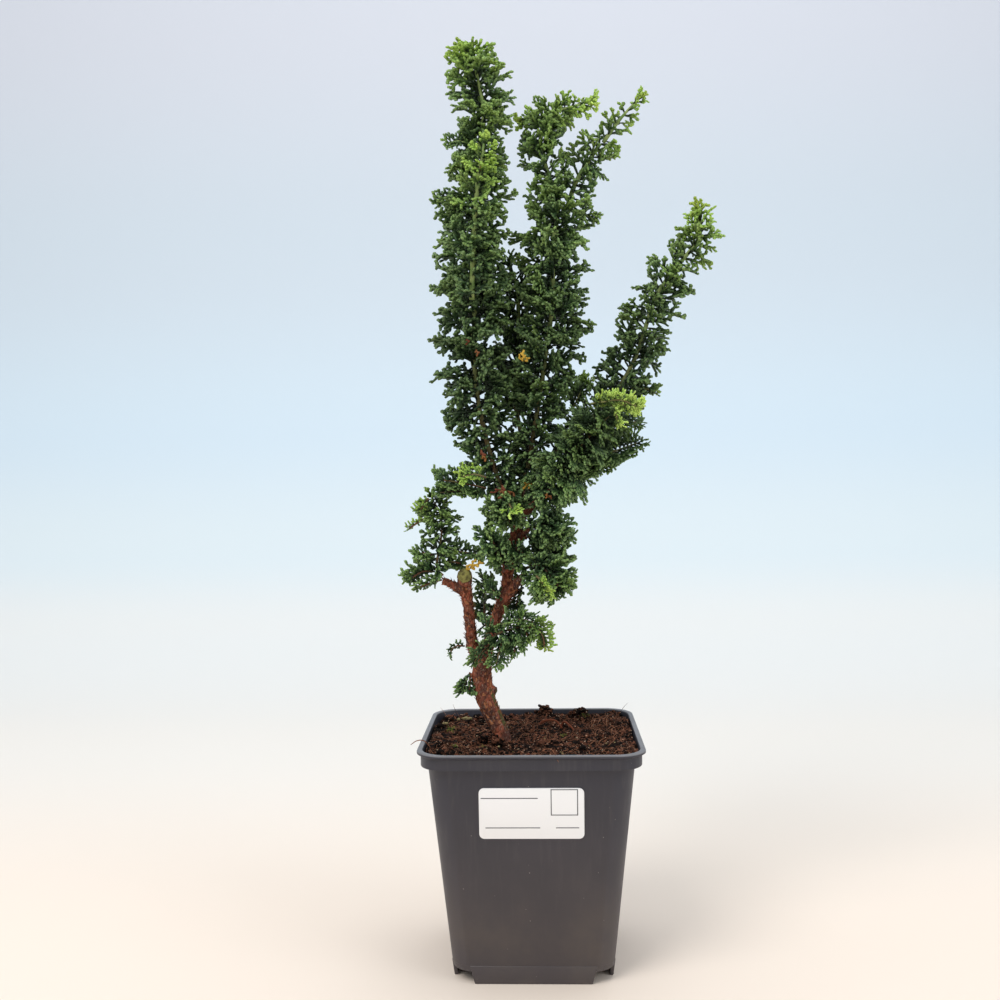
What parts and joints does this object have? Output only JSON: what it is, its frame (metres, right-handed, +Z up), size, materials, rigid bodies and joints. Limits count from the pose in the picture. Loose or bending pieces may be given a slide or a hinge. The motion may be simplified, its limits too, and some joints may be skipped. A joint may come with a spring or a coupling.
{
  "type": "hinoki cypress bonsai",
  "caption": "Young hinoki cypress bonsai with a twisted red-brown trunk and upright columns of fan-shaped green fronds, growing in a square tapered nursery pot.",
  "frame": {"origin": "middle of the whole part's box, on the surface that the pot's feet stand on", "axes": "+Z up along the tree, -Y out of the pot wall that carries the sticker, +X to the right when facing that wall"},
  "size_m": [0.1701, 0.11, 0.4685],
  "materials": {
    "pot_plastic": "matte, dark blue-grey, scuffed and dusty",
    "potting_mix": "rough, moist dark brown bark and peat with pale grit",
    "sticker": "smooth white label",
    "bark": "rough, flaking, reddish brown",
    "dark_foliage": "satin, dark green scale leaves",
    "fresh_foliage": "satin, yellow-green young scale leaves"
  },
  "bodies": {
    "root": {"pot": "pot_plastic", "soil": "potting_mix", "label": "sticker", "trunk": "bark", "back_left_spray": "dark_foliage", "back_limb_spray": "dark_foliage", "back_low_spray": "dark_foliage", "back_middle_spray": "dark_foliage", "centre_front_spray": "dark_foliage", "centre_front_spray_tip": "fresh_foliage", "centre_left_spray": "dark_foliage", "centre_low_spray": "dark_foliage", "front_branch": "dark_foliage", "front_branch_tip": "fresh_foliage", "inner_shoot": "dark_foliage", "inner_spray": "dark_foliage", "left_front_shoot": "dark_foliage", "left_front_shoot_tip": "fresh_foliage", "left_leader": "dark_foliage", "left_leader_tip": "fresh_foliage", "left_tuft": "dark_foliage", "left_tuft_tip": "fresh_foliage", "limb_sprig": "dark_foliage", "low_left_branch": "dark_foliage", "low_left_branch_tip": "fresh_foliage", "low_right_spray": "dark_foliage", "low_right_spray_tip": "fresh_foliage", "low_right_upper_spray": "dark_foliage", "lowest_spray": "dark_foliage", "lowest_spray_tip": "fresh_foliage", "middle_leader": "dark_foliage", "middle_leader_tip": "fresh_foliage", "middle_right_spray": "dark_foliage", "middle_side_branch": "dark_foliage", "middle_side_branch_tip": "fresh_foliage", "right_branch": "dark_foliage", "right_branch_tip": "fresh_foliage", "sprig_left": "dark_foliage", "sprig_lower_left": "dark_foliage"}
  },
  "joints": []
}
